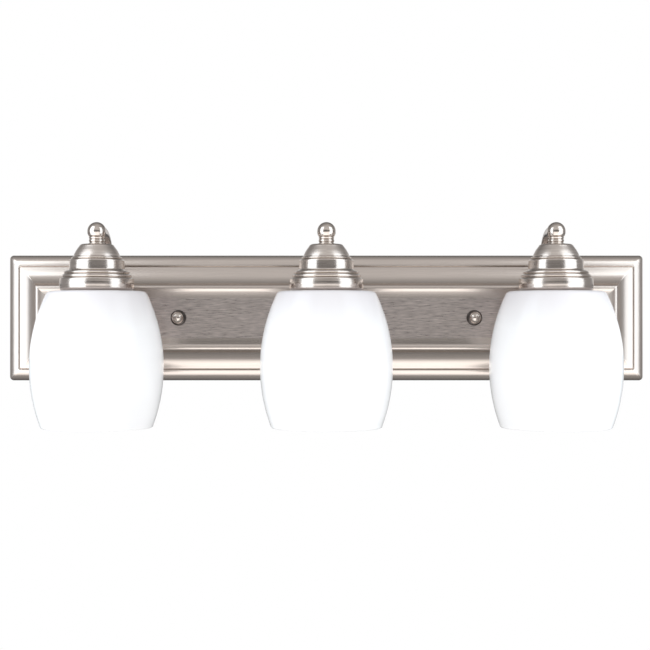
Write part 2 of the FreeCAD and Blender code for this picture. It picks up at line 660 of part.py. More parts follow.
def all_nodes():
    nodes = {
        "backplate": backplate(),
        "mounting_strap": mounting_strap(),
        "mounting_screws": mounting_screws(),
        "screw_lock_nuts": screw_lock_nuts(),
        "ground_screw": ground_screw(),
        "ground_wire": ground_wire(),
        "arm_washers": arm_washers(),
        "arm_nuts": arm_nuts(),
        "nipples": nipples(),
        "cup_nuts": cup_nuts(),
        "holder_contacts": holder_contacts(),
        "black_leads": leads(-NUT_X, SIDE_DEPTHS[0], -1),
        "white_leads": leads(NUT_X, SIDE_DEPTHS[1], 1),
        "hot_wire_nut": wire_nut(-NUT_X, 8.3),
        "neutral_wire_nut": wire_nut(NUT_X, 7.1),
        "ground_wire_nut": wire_nut(GROUND_X, GROUND_DEPTH),
    }
    for side, x in SIDES.items():
        nodes[f"cap_nut_{side}"] = cap_nut(x)
        nodes[f"cap_washer_{side}"] = cap_washer(x)
    makers = [arm, arm_collar, ball_hub, neck_collar, cup, holder_cap, holder_body, holder_shell,
              shade, shade_ring, lamp_glass, lamp_base, lamp_insulator]
    for side, x in LAMPS.items():
        for maker in makers:
            nodes[f"{maker.__name__}_{side}"] = maker(x)
    return nodes


def main():
    os.makedirs("parts", exist_ok=True)
    for name, shape in sorted(all_nodes().items()):
        if not shape.isValid() or shape.Volume <= 0 or not shape.Solids:
            print("bad shape:", name, shape.isValid(), shape.Volume, len(shape.Solids))
        shape.exportStep(f"parts/{name}.step")


main()
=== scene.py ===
"""Looks for the three-lamp vanity light bar: nickel, opal glass, lamps and fastenings, camera and light."""

import math

import bmesh
import bpy
from mathutils import Matrix, Vector


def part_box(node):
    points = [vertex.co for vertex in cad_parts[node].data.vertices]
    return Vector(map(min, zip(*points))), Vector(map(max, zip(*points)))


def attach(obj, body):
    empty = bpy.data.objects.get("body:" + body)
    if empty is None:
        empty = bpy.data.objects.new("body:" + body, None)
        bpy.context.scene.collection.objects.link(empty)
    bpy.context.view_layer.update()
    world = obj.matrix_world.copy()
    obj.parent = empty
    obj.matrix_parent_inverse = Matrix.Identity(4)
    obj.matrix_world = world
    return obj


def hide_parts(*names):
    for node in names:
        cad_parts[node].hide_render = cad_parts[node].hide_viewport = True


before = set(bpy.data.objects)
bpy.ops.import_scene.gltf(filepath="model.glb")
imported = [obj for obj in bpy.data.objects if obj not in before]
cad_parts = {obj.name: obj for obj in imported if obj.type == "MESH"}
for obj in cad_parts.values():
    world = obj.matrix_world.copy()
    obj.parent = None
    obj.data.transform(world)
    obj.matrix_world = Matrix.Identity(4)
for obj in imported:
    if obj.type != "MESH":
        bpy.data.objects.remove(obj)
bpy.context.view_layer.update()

# Sizes are in metres. A turned piece's outline is in millimetres, as (radius, height) from its own foot,
# top or back, and a step of four numbers is an arc through its first point to its second.
MM = 0.001
UNITS = ("left", "centre", "right")
SIDES = ("left", "right")
SEGMENTS = 96


# ---------------------------------------------------------------- outlines and meshes

def arc_points(start, middle, end, spacing=math.radians(5)):
    """Points on the circle through three points, without the first."""
    (ax, ay), (bx, by), (cx, cy) = start, middle, end
    d = 2 * (ax * (by - cy) + bx * (cy - ay) + cx * (ay - by))
    if abs(d) < 1e-12:
        return [end]
    a2, b2, c2 = ax * ax + ay * ay, bx * bx + by * by, cx * cx + cy * cy
    ux = (a2 * (by - cy) + b2 * (cy - ay) + c2 * (ay - by)) / d
    uy = (a2 * (cx - bx) + b2 * (ax - cx) + c2 * (bx - ax)) / d
    radius = math.hypot(ax - ux, ay - uy)
    first = math.atan2(ay - uy, ax - ux)
    turn = (math.atan2(cy - uy, cx - ux) - first) % math.tau
    if (math.atan2(by - uy, bx - ux) - first) % math.tau > turn:
        turn -= math.tau
    count = max(2, math.ceil(abs(turn) / spacing))
    angles = [first + turn * step / count for step in range(1, count + 1)]
    return [(ux + radius * math.cos(angle), uy + radius * math.sin(angle)) for angle in angles]


def follow(steps):
    """All the points of an outline, its arcs divided finely."""
    points = [tuple(steps[0])]
    for step in steps[1:]:
        if len(step) == 2:
            points.append(tuple(step))
        else:
            points += arc_points(points[-1], step[:2], step[2:])
    return points


def eased(points, radius, closed=True):
    """The same outline with each sharp corner rounded, as a finished edge is. A corner that turns less
    than smooth, or that is on the axis, stays as it is."""
    smooth, most = math.radians(22), 0.35
    result = []
    count = len(points)
    for index, here in enumerate(points):
        if not closed and index in (0, count - 1):
            result.append(here)
            continue
        before = Vector(points[index - 1]) - Vector(here)
        after = Vector(points[(index + 1) % count]) - Vector(here)
        if min(before.length, after.length) < 1e-9:
            continue
        on_axis = abs(here[0]) < 1e-9
        turn = math.pi - before.angle(after)
        if turn < smooth or on_axis:
            result.append(here)
            continue
        reach = min(radius, most * before.length, most * after.length)
        begin = Vector(here) + before.normalized() * reach
        end = Vector(here) + after.normalized() * reach
        for share in (0.0, 0.5, 1.0):
            flat = begin.lerp(end, share)
            bulge = (Vector(here) - (begin + end) / 2) * (0.5 if share == 0.5 else 0.0)
            result.append(tuple(flat + bulge))
    return result


def finished_object(name, mesh_data, material, sharp=35):
    """A smooth-shaded object with one material or several, and hard edges above sharp degrees."""
    mesh = bpy.data.meshes.new(name)
    mesh_data.normal_update()
    mesh_data.to_mesh(mesh)
    mesh_data.free()
    mesh.polygons.foreach_set("use_smooth", [True] * len(mesh.polygons))
    mesh.set_sharp_from_angle(angle=math.radians(sharp))
    piece = bpy.data.objects.new(name, mesh)
    for each in material if isinstance(material, (list, tuple)) else [material]:
        mesh.materials.append(each)
    bpy.context.scene.collection.objects.link(piece)
    return piece


def settle(piece, body, slot, *nodes):
    """Puts a finished piece on its body, in place of the CAD nodes named. slot is not used."""
    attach(piece, body)
    if nodes:
        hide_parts(*nodes)


def halfway(box):
    """The middle of a box, given as its lowest and highest corners."""
    low, high = box
    return (low + high) / 2


def standing(box):
    """The middle of a box's foot, and its height in millimetres."""
    low, high = box
    middle = halfway(box)
    return Vector((middle.x, middle.y, low.z)), (high.z - low.z) / MM


def hanging(box):
    """The middle of a box's top, and its height in millimetres."""
    low, high = box
    middle = halfway(box)
    return Vector((middle.x, middle.y, high.z)), (high.z - low.z) / MM


def facing(box):
    """The middle of a box's back, on the wall's side, and its depth in millimetres."""
    low, high = box
    middle = halfway(box)
    return Vector((middle.x, high.y, middle.z)), (high.y - low.y) / MM


def turned(name, steps, centre, material, axis="Z", segments=SEGMENTS, edge=0.15, shape=None):
    """A piece turned from an outline about the Z axis through centre, or about one that points forward,
    "-Y". edge rounds its corners. shape(radius, height, angle) may change each point's radius, for a
    thread, a knurl or ribs."""
    points = eased(follow(steps), edge)
    mesh = bmesh.new()
    rings = []
    for radius, height in points:
        if radius < 1e-6:
            rings.append([mesh.verts.new((0, 0, height * MM))])
            continue
        ring = []
        for step in range(segments):
            angle = math.tau * step / segments
            reach = (radius if shape is None else shape(radius, height, angle)) * MM
            ring.append(mesh.verts.new((reach * math.cos(angle), reach * math.sin(angle), height * MM)))
        rings.append(ring)
    for index, ring in enumerate(rings):
        following = rings[(index + 1) % len(rings)]
        if len(ring) == 1 and len(following) == 1:
            continue
        for step in range(segments):
            on = (step + 1) % segments
            corners = [ring[step % len(ring)], ring[on % len(ring)],
                       following[on % len(following)], following[step % len(following)]]
            mesh.faces.new(list(dict.fromkeys(corners)))
    bmesh.ops.recalc_face_normals(mesh, faces=mesh.faces)
    piece = finished_object(name, mesh, material)
    if axis == "-Y":
        piece.rotation_euler = (math.radians(90), 0, 0)
    piece.location = centre
    return piece


def thread(pitch, depth, low, high, rounded=False):
    """A helical thread between two heights of a turned piece, fading out at both ends."""
    def shape(radius, height, angle):
        if not low <= height <= high:
            return radius
        phase = (height / pitch - angle / math.tau) % 1.0
        wave = 0.5 - 0.5 * math.cos(math.tau * phase) if rounded else abs(2 * phase - 1)
        fade = min(1.0, (height - low) / pitch, (high - height) / pitch)
        return radius - depth * wave * max(0.0, fade)
    return shape


def only_outside(limit, shape):
    """A thread that is cut only where the outline is outside a radius."""
    return lambda radius, height, angle: shape(radius, height, angle) if radius > limit else radius


def levels(radius, low, high, spacing):
    """Outline points up a straight side, close enough together to carry a thread."""
    count = math.ceil((high - low) / spacing)
    return [(radius, low + (high - low) * step / count) for step in range(count + 1)]


def bridge(mesh, first, second):
    """Faces between two closed loops of as many points."""
    for index in range(len(first)):
        on = (index + 1) % len(first)
        mesh.faces.new((first[index], first[on], second[on], second[index]))


def tube(name, route, radius, bore, material, segments=40):
    """A tube along a route that starts square to X, with its rings carried along without twist."""
    mesh = bmesh.new()
    directions = []
    for index in range(len(route)):
        before = route[max(index - 1, 0)]
        after = route[min(index + 1, len(route) - 1)]
        directions.append((after - before).normalized())
    side = Vector((1, 0, 0))
    rings = {radius: [], bore: []}
    for place, direction in zip(route, directions):
        side = (side - direction * side.dot(direction)).normalized()
        other = direction.cross(side)
        for reach, found in rings.items():
            found.append([mesh.verts.new(place + (side * math.cos(math.tau * step / segments)
                                                  + other * math.sin(math.tau * step / segments)) * reach)
                          for step in range(segments)])
    loops = rings[radius] + rings[bore][::-1]
    for ring, following in zip(loops, loops[1:] + loops[:1]):
        bridge(mesh, ring, following)
    bmesh.ops.recalc_face_normals(mesh, faces=mesh.faces)
    return finished_object(name, mesh, material)


def rounded_route(points, radii, spacing=math.radians(6)):
    """Points along straight runs joined by tangent arcs, one radius for each inner point."""
    route = [points[0]]
    for index, radius in enumerate(radii, start=1):
        corner = points[index]
        back = (points[index - 1] - corner).normalized()
        on = (points[index + 1] - corner).normalized()
        half = back.angle(on) / 2
        centre = corner + (back + on).normalized() * (radius / math.sin(half))
        begin = corner + back * (radius / math.tan(half)) - centre
        axis = begin.cross(corner + on * (radius / math.tan(half)) - centre).normalized()
        turn = math.pi - 2 * half
        count = math.ceil(turn / spacing)
        for step in range(count + 1):
            route.append(centre + Matrix.Rotation(turn * step / count, 3, axis) @ begin)
    route.append(points[-1])
    return route


# ---------------------------------------------------------------- materials

def node(tree, kind, values=None, **settings):
    """A new shader node with its inputs' values and its settings."""
    made = tree.nodes.new(kind)
    for key, value in settings.items():
        setattr(made, key, value)
    for key, value in (values or {}).items():
        made.inputs[key].default_value = value
    return made


def new_material(name, values):
    """A material, its node tree and its shader with the values given."""
    material = bpy.data.materials.new(name)
    material.use_nodes = True
    shader = material.node_tree.nodes["Principled BSDF"]
    for key, value in values.items():
        shader.inputs[key].default_value = value
    return material, material.node_tree, shader


def scaled_noise(tree, source, scale, detail=3.0, roughness=0.55):
    """A noise value read at source's coordinates times scale, which may differ by axis."""
    mapping = node(tree, "ShaderNodeMapping", {"Scale": scale})
    noise = node(tree, "ShaderNodeTexNoise", {"Scale": 1.0, "Detail": detail, "Roughness": roughness})
    tree.links.new(source, mapping.inputs["Vector"])
    tree.links.new(mapping.outputs["Vector"], noise.inputs["Vector"])
    return noise.outputs["Fac"]


def spread(tree, source, low, high, start=0.3, end=0.7):
    """The source's range from start to end stretched over low to high, and held at both ends."""
    ranged = node(tree, "ShaderNodeMapRange",
                  {"From Min": start, "From Max": end, "To Min": low, "To Max": high})
    tree.links.new(source, ranged.inputs["Value"])
    return ranged.outputs["Result"]


def tinted(tree, shader, source, dark, light, start=0.3, end=0.7):
    """Drives the base colour between two colours."""
    ramp = node(tree, "ShaderNodeValToRGB")
    ramp.color_ramp.elements[0].position = start
    ramp.color_ramp.elements[0].color = (*dark, 1)
    ramp.color_ramp.elements[1].position = end
    ramp.color_ramp.elements[1].color = (*light, 1)
    tree.links.new(source, ramp.inputs["Fac"])
    tree.links.new(ramp.outputs["Color"], shader.inputs["Base Color"])


def bumped(tree, shader, source, distance, strength=1.0):
    bump = node(tree, "ShaderNodeBump", {"Strength": strength, "Distance": distance})
    tree.links.new(source, bump.inputs["Height"])
    tree.links.new(bump.outputs["Normal"], shader.inputs["Normal"])


def object_place(tree):
    return node(tree, "ShaderNodeTexCoord").outputs["Object"]


def round_place(tree):
    """Coordinates round a turned piece's own axis: radius, height and angle over a full turn."""
    apart = node(tree, "ShaderNodeSeparateXYZ")
    tree.links.new(object_place(tree), apart.inputs["Vector"])
    flat = node(tree, "ShaderNodeCombineXYZ")
    tree.links.new(apart.outputs["X"], flat.inputs["X"])
    tree.links.new(apart.outputs["Y"], flat.inputs["Y"])
    radius = node(tree, "ShaderNodeVectorMath", operation="LENGTH")
    tree.links.new(flat.outputs["Vector"], radius.inputs[0])
    angle = node(tree, "ShaderNodeMath", operation="ARCTAN2")
    tree.links.new(apart.outputs["X"], angle.inputs[0])
    tree.links.new(apart.outputs["Y"], angle.inputs[1])
    joined = node(tree, "ShaderNodeCombineXYZ")
    tree.links.new(radius.outputs["Value"], joined.inputs["X"])
    tree.links.new(apart.outputs["Z"], joined.inputs["Y"])
    tree.links.new(angle.outputs["Value"], joined.inputs["Z"])
    return joined.outputs["Vector"]


# Brush marks: how fast they change along each coordinate, fine and coarse. A small number is a long mark.
LENGTHWISE = ((60, 1500, 2200), (14, 500, 800))
UPRIGHT = ((2200, 1500, 60), (800, 500, 14))
PANEL = ((90, 1500, 1700), (120, 900, 1100))
SPUN = ((2600, 2600, 1.2), (700, 700, 0.5))
POLISHED = ((2600, 2600, 1.2), (500, 500, 0.5))
EVEN = ((700, 700, 700), (120, 120, 120))

# Nickel's darker and lighter tone on each part.
MOULDING_TONES = ((0.555, 0.491, 0.446), (0.60, 0.531, 0.482))
PANEL_TONES = ((0.40, 0.353, 0.332), (0.71, 0.624, 0.582))
CUP_TONES = ((0.52, 0.461, 0.420), (0.66, 0.585, 0.530))
POLISHED_TONES = ((0.44, 0.390, 0.352), (0.70, 0.620, 0.560))
# Painted shade: the arm's nickel is toned darker than the other nickel parts, standing in for the shade and
# dark reflections that fall on it.
ARM_PAINTED_SHADE_TONES = ((0.40, 0.353, 0.328), (0.50, 0.442, 0.410))
# Painted shade: near-black nickel standing in for the shadow round each cap nut's foot and washer.
PAINTED_SHADE_TONES = ((0.055, 0.047, 0.043), (0.12, 0.103, 0.095))

# How deep the brush marks are, in metres.
FAINT, SLIGHT, BRUSHED = 0.000004, 0.000006, 0.00001


def brushed_nickel(name, place, marks, tones, roughness, depth):
    """Nickel with brush marks, which vary its tone and its roughness between two values each."""
    material, tree, shader = new_material(name, {"Metallic": 1.0, "IOR": 1.5})
    where = place(tree)
    fine = scaled_noise(tree, where, marks[0], 2.0, 0.6)
    coarse = scaled_noise(tree, where, marks[1], 1.0, 0.5)
    both = node(tree, "ShaderNodeMath", operation="ADD")
    tree.links.new(spread(tree, fine, 0.0, 0.5), both.inputs[0])
    tree.links.new(spread(tree, coarse, 0.0, 0.5), both.inputs[1])
    tinted(tree, shader, both.outputs["Value"], *tones, 0.1, 0.9)
    tree.links.new(spread(tree, both.outputs["Value"], *roughness, 0.0, 1.0), shader.inputs["Roughness"])
    bumped(tree, shader, fine, depth)
    return material


def plated_steel():
    """Zinc plating, whose crystals differ in tone and gloss."""
    material, tree, shader = new_material("zinc_plated_steel", {"Metallic": 1.0})
    where = object_place(tree)
    cells = node(tree, "ShaderNodeTexVoronoi", {"Scale": 210.0, "Randomness": 1.0})
    tree.links.new(where, cells.inputs["Vector"])
    shade = node(tree, "ShaderNodeSeparateColor")
    tree.links.new(cells.outputs["Color"], shade.inputs["Color"])
    tinted(tree, shader, shade.outputs["Red"], (0.47, 0.49, 0.51), (0.70, 0.715, 0.73), 0.0, 1.0)
    grain = scaled_noise(tree, where, (900, 900, 900))
    tree.links.new(spread(tree, shade.outputs["Green"], 0.24, 0.44, 0.0, 1.0), shader.inputs["Roughness"])
    bumped(tree, shader, grain, 0.00003)
    return material


def opal_glass():
    """Cased opal: glossy skin, a white body with painted shade that greys it towards the shoulder under the
    cup, and blown glass's unevenness.
    """
    material, tree, shader = new_material(
        "opal_glass", {"Roughness": 0.16, "IOR": 1.5, "Specular IOR Level": 0.35, "Subsurface Weight": 0.3,
                       "Subsurface Scale": 0.004, "Subsurface Radius": (1.0, 1.0, 1.0)})
    where = object_place(tree)
    cloud = spread(tree, scaled_noise(tree, where, (18, 18, 11), 3.0), -0.12, 0.12)
    apart = node(tree, "ShaderNodeSeparateXYZ")
    tree.links.new(where, apart.inputs["Vector"])
    body = node(tree, "ShaderNodeMath", operation="ADD")
    tree.links.new(cloud, body.inputs[0])
    # Painted shade: the body greys towards the top of the shoulder, where the cup shades it.
    tree.links.new(spread(tree, apart.outputs["Z"], 0.0, 1.0, 0.0, -0.035), body.inputs[1])
    tinted(tree, shader, body.outputs["Value"], (0.80, 0.755, 0.76), (0.965, 0.937, 0.925), 0.0, 0.9)
    waves = scaled_noise(tree, where, (30, 30, 16), 2.0)
    bumped(tree, shader, waves, 0.0006, 0.35)
    return material


def frosted_glass():
    """A lamp's bulb: white, finely etched and faintly glossy."""
    material, tree, shader = new_material(
        "frosted_bulb_glass", {"Roughness": 0.38, "IOR": 1.5, "Subsurface Weight": 0.3,
                               "Subsurface Scale": 0.003, "Subsurface Radius": (1.0, 1.0, 1.0),
                               "Coat Weight": 0.35, "Coat Roughness": 0.12})
    where = object_place(tree)
    cloud = scaled_noise(tree, where, (60, 60, 60), 4.0)
    tinted(tree, shader, cloud, (0.86, 0.86, 0.845), (0.93, 0.93, 0.915))
    bumped(tree, shader, scaled_noise(tree, where, (2200, 2200, 2200), 2.0), 0.00002)
    return material


def moulded_plastic(name, dark, light, roughness, coat=0.0):
    """Plastic with a moulded grain, and a glossy skin where coat is above nothing."""
    material, tree, shader = new_material(name, {"IOR": 1.48, "Coat Weight": coat, "Coat Roughness": 0.15})
    where = object_place(tree)
    tinted(tree, shader, scaled_noise(tree, where, (140, 140, 90), 4.0), dark, light)
    tree.links.new(spread(tree, scaled_noise(tree, where, (320, 320, 320)), *roughness),
                   shader.inputs["Roughness"])
    bumped(tree, shader, scaled_noise(tree, where, (1500, 1500, 1500), 2.0), 0.00003)
    return material


def plain_metal(name, dark, light, roughness):
    """Unbrushed metal with an uneven tone and a fine grain."""
    material, tree, shader = new_material(name, {"Metallic": 1.0})
    where = object_place(tree)
    tone = scaled_noise(tree, where, (240, 240, 240), 4.0)
    tinted(tree, shader, tone, dark, light)
    tree.links.new(spread(tree, tone, *roughness), shader.inputs["Roughness"])
    bumped(tree, shader, scaled_noise(tree, where, (1200, 1200, 1200), 2.0), 0.00002)
    return material


def make_materials():
    return {
        "long": brushed_nickel("nickel_moulding_lengthwise", object_place, LENGTHWISE, MOULDING_TONES,
                               (0.23, 0.26), FAINT),
        "upright": brushed_nickel("nickel_moulding_upright", object_place, UPRIGHT, MOULDING_TONES,
                                  (0.33, 0.37), FAINT),
        "panel": brushed_nickel("nickel_panel_brushed", object_place, PANEL, PANEL_TONES,
                                (0.26, 0.32), 0.000012),
        # Painted shade, for the cap nuts' feet and their washers.
        "shadowed": brushed_nickel("nickel_painted_shade", round_place, SPUN, PAINTED_SHADE_TONES,
                                   (0.25, 0.4), BRUSHED),
        "spun": brushed_nickel("nickel_spun", round_place, SPUN, CUP_TONES, (0.17, 0.22), FAINT),
        "dome": brushed_nickel("nickel_spun_dome", round_place, SPUN, CUP_TONES, (0.32, 0.37), FAINT),
        "polished": brushed_nickel("nickel_polished", round_place, POLISHED, POLISHED_TONES,
                                   (0.10, 0.18), SLIGHT),
        "arm": brushed_nickel("nickel_arm", object_place, EVEN, ARM_PAINTED_SHADE_TONES, (0.18, 0.28), BRUSHED),
        "zinc": plated_steel(),
        "opal": opal_glass(),
        "frosted": frosted_glass(),
        "aluminium": plain_metal("rolled_aluminium", (0.70, 0.70, 0.69), (0.84, 0.84, 0.83), (0.22, 0.36)),
        "brass": plain_metal("stamped_brass", (0.62, 0.44, 0.19), (0.83, 0.64, 0.33), (0.22, 0.40)),
        "copper": plain_metal("bare_copper", (0.55, 0.22, 0.10), (0.86, 0.42, 0.24), (0.25, 0.45)),
        "phenolic": moulded_plastic("black_phenolic", (0.012, 0.011, 0.010), (0.030, 0.027, 0.025),
                                    (0.22, 0.42), coat=0.3),
        "vitrite": moulded_plastic("black_glass_button", (0.008, 0.008, 0.010), (0.02, 0.02, 0.024),
                                   (0.08, 0.2), coat=0.8),
        "black_wire": moulded_plastic("black_insulation", (0.010, 0.010, 0.010), (0.028, 0.028, 0.027),
                                      (0.32, 0.5)),
        "white_wire": moulded_plastic("white_insulation", (0.62, 0.60, 0.55), (0.74, 0.72, 0.68),
                                      (0.32, 0.5)),
        "orange": moulded_plastic("orange_nylon", (0.62, 0.13, 0.015), (0.78, 0.20, 0.03), (0.36, 0.55)),
        "green": moulded_plastic("green_nylon", (0.012, 0.12, 0.035), (0.025, 0.19, 0.06), (0.36, 0.55)),
        "green_steel": plain_metal("green_plated_steel", (0.05, 0.26, 0.11), (0.11, 0.42, 0.2),
                                   (0.25, 0.4)),
    }


# ---------------------------------------------------------------- backplate

SHEET = 0.8
ARM_HOLE = 5.1
SCREW_HOLE = 2.5


def middle_of(name):
    """The middle of a CAD node's box."""
    return halfway(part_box(name))


def moulding(offset):
    """The plate's section as (inset from the edge, height off the wall) in millimetres: outer roll,
    groove, cove, bead, fillet and dish. offset sets it back from the outer face. A slope is how many
    degrees the face rises at a point, going inwards."""
    roll_radius, cove_radius, bead_radius, fillet_radius, dish_radius = 11.6, 21.4, 3.2, 5.0, 57.0
    roll_slope, cove_start, cove_end, bead_end, dish_start = 5.4, 8.0, 71.6, -27.0, -6.0

    def at(centre, radius, slope, over=1):
        angle = math.radians(slope)
        return centre[0] - over * radius * math.sin(angle), centre[1] + over * radius * math.cos(angle)

    roll = (roll_radius, 0.5)
    roll_end = at(roll, roll_radius - offset, roll_slope)
    groove = (roll_end[0] + 0.7, roll_end[1] - 0.8)
    roll_lip = at(roll, roll_radius, roll_slope)
    cove_centre = at((roll_lip[0] + 1.4, roll_lip[1] + 0.2), cove_radius, cove_start)
    cove = [at(cove_centre, cove_radius + offset, slope, -1)
            for slope in (cove_start, (cove_start + cove_end) / 2, cove_end)]
    bead_centre = at(at(cove_centre, cove_radius, cove_end, -1), bead_radius, cove_end, -1)
    bead = [at(bead_centre, bead_radius - offset, slope) for slope in ((cove_end + bead_end) / 2, bead_end)]
    fillet_centre = at(at(bead_centre, bead_radius, bead_end), fillet_radius, bead_end)
    fillet = [at(fillet_centre, fillet_radius + offset, slope, -1)
              for slope in ((bead_end + dish_start) / 2, dish_start)]
    dish_centre = at(at(fillet_centre, fillet_radius, dish_start, -1), dish_radius, dish_start)
    dish = [at(dish_centre, dish_radius + offset, slope, -1) for slope in (dish_start / 2, 0)]
    return [(offset, 0.0), (offset, 0.5), (*at(roll, roll_radius - offset, 47.7), *roll_end), groove, cove[0],
            (*cove[1], *cove[2]), (*bead[0], *bead[1]), (*fillet[0], *fillet[1]), (*dish[0], *dish[1])]


def corner_radius(inset):
    """How round the pressed corner is at each inset from the edge, in millimetres."""
    return max(0.7, 3.6 - 0.16 * inset)


def frame_loop(mesh, low, high, inset, out, steps=6):
    """A loop of points round the plate at one inset and one distance from the wall."""
    radius = corner_radius(inset) * MM
    inset *= MM
    loop = []
    corners = [(high.x - inset, high.z - inset, 0), (low.x + inset, high.z - inset, 90),
               (low.x + inset, low.z + inset, 180), (high.x - inset, low.z + inset, 270)]
    for x, z, start in corners:
        inward = Vector((math.cos(math.radians(start + 45)), math.sin(math.radians(start + 45))))
        centre = Vector((x, z)) - inward * radius * math.sqrt(2)
        for step in range(steps + 1):
            angle = math.radians(start + 90 * step / steps)
            spot = centre + Vector((math.cos(angle), math.sin(angle))) * radius
            loop.append(mesh.verts.new((spot.x, -out * MM, spot.y)))
    return loop


def ring_of(mesh, centre, radius, out, count=40):
    """A round loop of points at one distance from the wall."""
    angles = [math.tau * step / count for step in range(count)]
    return [mesh.verts.new((centre.x + radius * math.cos(angle), -out, centre.z + radius * math.sin(angle)))
            for angle in angles]


def loop_edges(mesh, loop):
    """A closed loop's edges, made where there are none yet."""
    return [mesh.edges.get((a, b)) or mesh.edges.new((a, b)) for a, b in zip(loop, loop[1:] + loop[:1])]


def backplate(materials):
    """The pressing: an outer and an inner skin with holes for the arms and the long screws."""
    low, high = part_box("backplate")
    holes = [(halfway(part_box(f"arm_collar_{unit}")), ARM_HOLE * MM) for unit in UNITS]
    holes += [(halfway(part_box(f"cap_nut_{side}")), SCREW_HOLE * MM) for side in SIDES]
    mesh = bmesh.new()
    skins = []
    for offset in (0.0, SHEET):
        loops = [frame_loop(mesh, low, high, inset, out) for inset, out in
                 eased(follow(moulding(offset)), 0.25, closed=False)]
        for first, second in zip(loops, loops[1:]):
            bridge(mesh, first, second)
        out = -loops[-1][0].co.y
        rings = [ring_of(mesh, centre, radius, out) for centre, radius in holes]
        edges = loop_edges(mesh, loops[-1])
        for ring in rings:
            edges += loop_edges(mesh, ring)
        bmesh.ops.triangle_fill(mesh, use_beauty=True, use_dissolve=False, edges=edges)
        skins.append((loops[0], rings))
    bridge(mesh, skins[0][0], skins[1][0])
    for first, second in zip(skins[0][1], skins[1][1]):
        bridge(mesh, first, second)
    bmesh.ops.recalc_face_normals(mesh, faces=mesh.faces)
    paints = ("long", "upright", "panel")
    brim = moulding(0.0)[-1][2] * MM
    for face in mesh.faces:
        spot = face.calc_center_median()
        from_end, from_side = high.x - abs(spot.x), high.z - abs(spot.z)
        upright = int(from_end < from_side)
        face.material_index = paints.index("panel") if min(from_end, from_side) > brim else upright
    plate = finished_object("backplate_pressing", mesh, [materials[paint] for paint in paints], sharp=30)
    settle(plate, "fixture", "brushed_nickel", "backplate")


# ---------------------------------------------------------------- arm, ball, collars and cup

def arm(materials, unit):
    """The bent tube, and the threaded stud that holds its foot behind the plate. In millimetres: the
    straight run behind the ball, the upper bend's radius, the tube's wall and the collar's thickness."""
    run, bend, wall, collar = 14.0, 35.0, 1.0, 4.5
    low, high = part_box(f"arm_{unit}")
    foot = middle_of(f"arm_collar_{unit}")
    plate = -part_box(f"arm_collar_{unit}")[1].y
    radius = (high.x - low.x) / 2
    ball_z = high.z - radius
    start = -low.y
    riser = start - (run + bend) * MM
    lower = riser - plate - collar * MM
    points = [Vector((foot.x, -start, ball_z)), Vector((foot.x, -riser, ball_z)),
              Vector((foot.x, -riser, foot.z)), Vector((foot.x, -plate, foot.z))]
    bent = tube(f"arm_{unit}_tube", rounded_route(points, [bend * MM, lower]), radius, radius - wall * MM,
                materials["arm"])
    settle(bent, "fixture", "brushed_nickel", f"arm_{unit}")
    length = (plate + high.y) / MM
    stud = [(3.5, 0.0), (3.5, length + 3), (4.85, length + 3), *levels(4.85, 0.5, length, 0.2)[::-1],
            (4.4, 0.0)]
    piece = turned(f"arm_{unit}_stud", stud, Vector((foot.x, high.y, foot.z)), materials["zinc"], "-Y", 48,
                   shape=only_outside(4.0, thread(0.94, 0.45, 0.5, length)))
    settle(piece, "fixture", "zinc_steel")


def arm_collar(materials, unit):
    back, _ = facing(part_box(f"arm_collar_{unit}"))
    steps = [(6.4, 0), (7.8, 0), (7.8, 1.2), (7.6, 1.5), (7.6, 1.8), (7.5, 3.4, 6.9, 4.5), (6.4, 4.5)]
    piece = turned(f"arm_{unit}_collar", steps, back, materials["spun"], "-Y", 64)
    settle(piece, "fixture", "brushed_nickel", f"arm_collar_{unit}")


def ball_hub(materials, unit):
    foot, top = standing(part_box(f"ball_hub_{unit}"))
    ball, rim = 8.25, 7.0
    lip = top - ball - math.sqrt(ball ** 2 - rim ** 2)
    steps = [(4.9, 0), (6.6, 0), (6.9, 1.0), (6.4, lip - 0.7), (rim, lip), (ball, top - ball, 0, top),
             (0, top - 1.0), (4.9, top - 9.0)]
    piece = turned(f"ball_{unit}", steps, foot, materials["polished"], edge=0.2)
    settle(piece, "fixture", "brushed_nickel", f"ball_hub_{unit}")


def neck_collar(materials, unit):
    foot, _ = standing(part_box(f"neck_collar_{unit}"))
    steps = [(4.95, 0), (7.9, 0), (7.8, 0.5), (6.8, 0.9, 6.4, 1.8), (7.0, 3.1, 6.5, 4.4), (6.5, 4.8),
             (4.95, 4.8)]
    piece = turned(f"neck_{unit}", steps, foot, materials["polished"], edge=0.12)
    settle(piece, "fixture", "brushed_nickel", f"neck_collar_{unit}")


